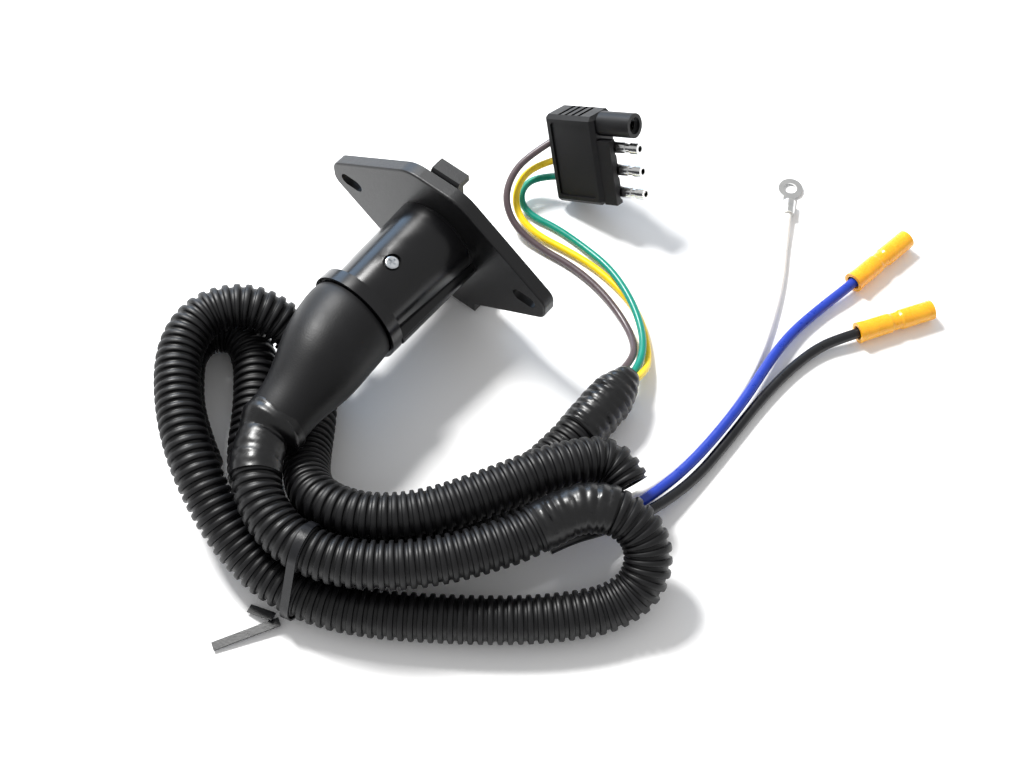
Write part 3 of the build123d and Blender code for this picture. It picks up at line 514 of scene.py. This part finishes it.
def loom(name, route, crest, sizes, twist, open_end):
    """A corrugated loom along its route, slit lengthwise, its far end open or closed."""
    line = Line(route)
    profile = rib_profile(sizes, crest)
    count = int(line.length / sizes.pitch)
    pitch = line.length / count

    def slit_radius(radius, distance):
        seam = twist + SEAM_TURN * distance / line.length

        def at(angle):
            off = (angle - seam + pi) % (2 * pi) - pi
            return radius - sizes.slit * max(0.0, 1 - abs(off) / SLIT_HALF_ANGLE)
        return at

    stations = []
    for i in range(count):
        for fraction, radius in profile:
            distance = (i + fraction) * pitch
            stations.append((distance, slit_radius(radius, distance)))
    if open_end:
        inner = crest - sizes.depth - sizes.wall
        stations.append((line.length, crest - 0.35 * sizes.depth))
        stations.append((line.length, inner + 0.1 * MM))
        for back in (0.4, 3, 6, 9, 12):
            stations.append((line.length - back * MM, inner))
    return line, swept(name, line, sizes.sides, stations)


def wound(name, line, start, end, base, sizes, seed, pucker=None, taper=None):
    """A sleeve of wound tape with lap edges, telegraphed ribs and puckers."""
    count = int((end - start) / TAPE_RING_SPACING)
    stations = []

    def wall(distance):
        along = (distance - start) / (end - start)
        shape = taper(along) if taper else 1.0

        def at(angle):
            turn = (distance / sizes.lap + angle / (2 * pi)) % 1.0
            lapped = sizes.step * (1 - turn) ** TAPE_EDGE_POWER
            place = Vector((cos(angle) * 2.1, sin(angle) * 2.1, distance / (4 * MM) + seed))
            fold = sizes.wrinkle * (noise.noise(place) + 0.5 * noise.noise(place * 2.7))
            rib = 0.0
            if pucker:
                grip = 0.5 + 0.5 * noise.noise(Vector((cos(angle) * 1.3, sin(angle) * 1.3, seed + along)))
                rib = pucker * abs(sin(pi * distance / RIB_PITCH)) * grip
            return base * shape + lapped + fold + rib
        return at

    for i in range(count + 1):
        distance = start + (end - start) * i / count
        stations.append((distance, wall(distance)))
    return swept(name, line, TAPE_SIDES, stations)


# ---------------------------------------------------------------- operators
class OBJECT_OT_connector_stage(bpy.types.Operator):
    """Adds the camera, the table and the soft studio light"""
    bl_idname = "object.connector_stage"
    bl_label = "Stage"

    def execute(self, context):
        camera = bpy.data.objects.new("camera", bpy.data.cameras.new("camera"))
        camera.data.lens = 55.4
        camera.data.sensor_width = 36.0
        camera.data.clip_start = 0.01
        camera.location = (0.2472, -0.2158, 0.5189)
        aim = Vector((0.0496, 0.0269, 0.0)) - camera.location
        camera.rotation_euler = aim.to_track_quat("-Z", "Y").to_euler()
        context.scene.collection.objects.link(camera)
        context.scene.camera = camera

        shape = bmesh.new()
        bmesh.ops.create_grid(shape, x_segments=8, y_segments=8, size=1.6)
        table = finished("table", shape)
        table.location.z = -0.1 * MM
        table.data.materials.append(made("white_laminate", painted_table))

        def area(name, place, aim_at, size, power, colour):
            lamp = bpy.data.lights.new(name, "AREA")
            lamp.shape = "RECTANGLE"
            lamp.size = size[0]
            lamp.size_y = size[1]
            lamp.energy = power
            lamp.color = colour
            holder = bpy.data.objects.new(name, lamp)
            holder.location = place
            holder.rotation_euler = (Vector(aim_at) - Vector(place)).to_track_quat("-Z", "Y").to_euler()
            context.scene.collection.objects.link(holder)

        centre = (0.05, 0.0, 0.02)
        area("key", (-0.62, 0.16, 0.86), centre, (0.24, 0.24), 20.0, (1.0, 0.995, 0.98))
        area("window", (-0.75, 0.45, 0.35), centre, (0.5, 0.35), 2.2, (0.45, 0.68, 1.0))
        world = bpy.data.worlds.new("studio")
        world.use_nodes = True
        background = world.node_tree.nodes["Background"]
        background.inputs["Color"].default_value = (1.0, 1.0, 1.0, 1)
        background.inputs["Strength"].default_value = 0.62
        context.scene.world = world
        context.scene.view_settings.view_transform = "Standard"
        return {"FINISHED"}


class OBJECT_OT_connector_looms(bpy.types.Operator):
    """Builds the corrugated looms and winds their tapes"""
    bl_idname = "object.connector_looms"
    bl_label = "Looms and tapes"

    def execute(self, context):
        sizes = context.scene.loom_sizes
        tape = context.scene.tape_sizes
        colours = context.scene.connector_colours
        crest = LOOM_RADIUS
        plastic = made("corrugated_polyethylene", polyethylene, colours)
        vinyl = made("vinyl_tape", vinyl_tape, colours)

        main, main_loom = loom("loom_main", MAIN_ROUTE, crest, sizes, 2.3, True)
        placed(main_loom, "socket", "loom_black", plastic, "conduit_main")
        branch, branch_loom = loom("loom_branch", BRANCH_ROUTE, crest, sizes, 0.4, False)
        placed(branch_loom, "socket", "loom_black", plastic, "conduit_branch")

        first = main.nearest((103.5, -25.5, 27.7))
        last = main.nearest((120.5, -4.2, 29.1))
        joint = wound("tape_joint", main, first, last, JOINT_TAPE_RADIUS, tape, 3.0, 0.9 * MM)
        placed(joint, "socket", "tape_black", vinyl, "joint_tape")

        neck_line = Line(NECK_ROUTE)

        def over_lip(along):
            """Wide over the boot's rolled lip, easing down onto the loom."""
            fall = min(1.0, max(0.0, (along - LIP_END) / LIP_FALL))
            return 1 + LIP_COVER - LIP_COVER * fall * fall * (3 - 2 * fall)

        neck = wound(
            "tape_neck", neck_line, 0.0, neck_line.length, NECK_TAPE_RADIUS, tape, 11.0,
            0.25 * MM, over_lip)
        placed(neck, "socket", "tape_black", vinyl, "neck_tape")

        tail = Line([*BRANCH_ROUTE[-2:], (86, 38, 9.9), (85.9, 46, 10.6), (85.6, 54, 11.2)])
        start = tail.nearest((86, 22, 9.2))

        def closing(along):
            """Full size, then drawn in onto the three leads."""
            share = max(0.0, along - CLOSING_FROM) / (1 - CLOSING_FROM)
            return 1.0 - CLOSING_DROP * share ** CLOSING_POWER

        ends = wound(
            "tape_branch", tail, start, tail.length, BRANCH_TAPE_RADIUS, tape, 7.0, 1.0 * MM, closing)
        placed(ends, "socket", "tape_black", vinyl, "branch_tape")

        paint("bundle_link", vinyl)
        paint("twist_tie", made("vinyl_strip", vinyl_insulation, "strip", colours.lead_black))
        return {"FINISHED"}


class OBJECT_OT_connector_leads(bpy.types.Operator):
    """Builds the six free leads"""
    bl_idname = "object.connector_leads"
    bl_label = "Leads"

    def execute(self, context):
        colours = context.scene.connector_colours
        tints = {
            "brown": colours.brown, "yellow": colours.yellow, "green": colours.green,
            "white": colours.white, "blue": colours.blue, "black": colours.lead_black,
        }
        for name, route in LEAD_ROUTES.items():
            radius = HEAVY_LEAD_RADIUS if name in HEAVY_LEADS else LEAD_RADIUS
            lead = route_curve("wire_" + name, route)
            lead.data.bevel_depth = radius
            lead.data.bevel_resolution = 7
            lead.data.use_fill_caps = True
            placed(
                lead, "socket", "lead_" + name,
                made("vinyl_insulation_" + name, vinyl_insulation, name, tints[name]),
                "lead_" + name)
        return {"FINISHED"}


class OBJECT_OT_connector_socket(bpy.types.Operator):
    """Finishes the socket, its lid, contacts, screws and boot"""
    bl_idname = "object.connector_socket"
    bl_label = "Socket and boot"

    def execute(self, context):
        colours = context.scene.connector_colours
        nylon = made("glass_filled_nylon", glass_filled_nylon, colours)
        for node in ("socket_housing", "lid"):
            paint(node, nylon)
        paint("contact_insert", made("phenolic", phenolic, colours))
        brass = made("turned_brass", plated_metal, "turned_brass", "#D9BC7A", "#A98A4E", 0.2, 0.34, 4 * MM)
        for node in NODES:
            if node.startswith("contact_") and node not in ("contact_insert", "contact_screws"):
                paint(node, brass)
        zinc = made("bright_zinc", plated_metal, "bright_zinc", "#E8EBEE", "#B4B9BE", 0.16, 0.3, 3 * MM)
        for node in ("contact_screws", "insert_screw", "hinge_pin"):
            paint(node, zinc)
        paint("lid_spring", made(
            "stainless_wire", plated_metal, "stainless_wire", "#C6C8CA", "#8E9194", 0.2, 0.32, 2 * MM))
        paint("lid_seal", made("sponge_rubber", moulded_rubber, "sponge_rubber", colours, 0.7, 0.85))
        paint("boot", made("moulded_rubber", moulded_rubber, "moulded_rubber", colours, 0.42, 0.56))
        paint("boot_wires", made(
            "vinyl_insulation_black", vinyl_insulation, "black", colours.lead_black))
        return {"FINISHED"}


class OBJECT_OT_connector_terminals(bpy.types.Operator):
    """Finishes the flat plug, the ring terminal and the splices"""
    bl_idname = "object.connector_terminals"
    bl_label = "Plug and terminals"

    def execute(self, context):
        colours = context.scene.connector_colours
        tin = made("bright_tin", plated_metal, "bright_tin", "#F4F4F2", "#C9CACB", 0.12, 0.24, 5 * MM)
        for node in ("flat_plug_pins", "flat_plug_socket", "ring_terminal", "butt_barrels"):
            paint(node, tin)
        paint("flat_plug_body", made("soft_vinyl", moulded_rubber, "soft_vinyl", colours, 0.4, 0.52))
        nylon = made("tinted_nylon", moulded_nylon, colours)
        for node in ("butt_sleeve_blue", "butt_sleeve_black"):
            paint(node, nylon)
        return {"FINISHED"}


class VIEW3D_PT_connector(bpy.types.Panel):
    """Lists the connector's steps, sizes and colours"""
    bl_label = "Connector"
    bl_idname = "VIEW3D_PT_connector"
    bl_space_type = "VIEW_3D"
    bl_region_type = "UI"
    bl_category = "Connector"

    def draw(self, context):
        layout = self.layout
        for operator in OPERATORS:
            layout.operator(operator.bl_idname)
        for group in (context.scene.loom_sizes, context.scene.tape_sizes, context.scene.connector_colours):
            box = layout.box()
            for name in group.__annotations__:
                box.prop(group, name)


OPERATORS = (
    OBJECT_OT_connector_stage,
    OBJECT_OT_connector_looms,
    OBJECT_OT_connector_leads,
    OBJECT_OT_connector_socket,
    OBJECT_OT_connector_terminals,
)
CLASSES = (LoomSizes, TapeSizes, Colours, *OPERATORS, VIEW3D_PT_connector)


def register():
    for item in CLASSES:
        bpy.utils.register_class(item)
    bpy.types.Scene.loom_sizes = PointerProperty(type=LoomSizes)
    bpy.types.Scene.tape_sizes = PointerProperty(type=TapeSizes)
    bpy.types.Scene.connector_colours = PointerProperty(type=Colours)


def unregister():
    del bpy.types.Scene.connector_colours
    del bpy.types.Scene.tape_sizes
    del bpy.types.Scene.loom_sizes
    for item in reversed(CLASSES):
        bpy.utils.unregister_class(item)


def main():
    register()
    bpy.ops.object.connector_stage()
    bpy.ops.object.connector_looms()
    bpy.ops.object.connector_leads()
    bpy.ops.object.connector_socket()
    bpy.ops.object.connector_terminals()
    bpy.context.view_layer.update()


if __name__ == "__main__":
    main()
